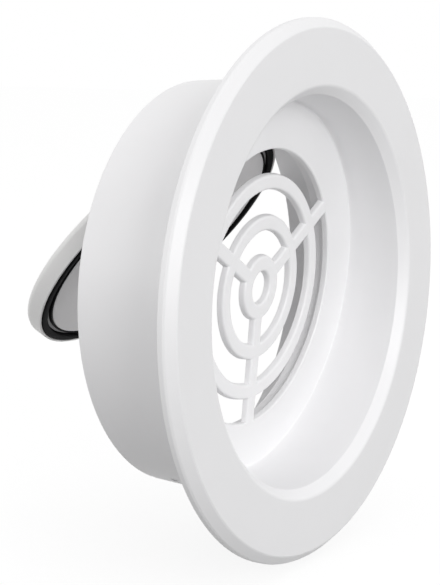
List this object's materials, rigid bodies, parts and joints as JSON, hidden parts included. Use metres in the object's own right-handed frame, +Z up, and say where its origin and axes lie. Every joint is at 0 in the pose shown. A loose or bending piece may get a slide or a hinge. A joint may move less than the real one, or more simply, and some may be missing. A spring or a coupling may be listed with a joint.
{
  "type": "backdraft damper",
  "caption": "Round wall grille with a recessed bowl on a short duct sleeve, and a top hung sealed flap that swings open behind the grille.",
  "frame": {"origin": "on the duct axis, in the plane of the wall that the flange's back rim rests on", "axes": "+Y along the duct axis into the wall, -Y towards the room, +Z up, +X to the right seen from the room"},
  "size_m": [0.19, 0.1101, 0.19],
  "materials": {
    "body": "satin white moulded plastic",
    "flap_plastic": "satin white moulded plastic",
    "flap_cover": "satin pale grey moulded plastic",
    "seal": "matt black rubber",
    "foam": "pale closed cell foam",
    "steel": "plain drawn steel"
  },
  "bodies": {
    "wall_unit": {"front_plate": "body", "duct_sleeve": "body", "hinge_pin": "steel", "pin_clip_left": "steel", "pin_clip_right": "steel"},
    "flap": {"flap_shell": "flap_plastic", "flap_core": "foam", "flap_cover": "flap_cover", "flap_seal": "seal", "seal_retainer": "flap_plastic", "inner_bead": "seal"}
  },
  "joints": [
    {"name": "flap_swing", "type": "hinge", "parent": "wall_unit", "child": "flap", "pos_m": [0, 0.02529, 0.05897], "axis": [1, 0, 0], "range_deg": [-37.7, 34]}
  ]
}
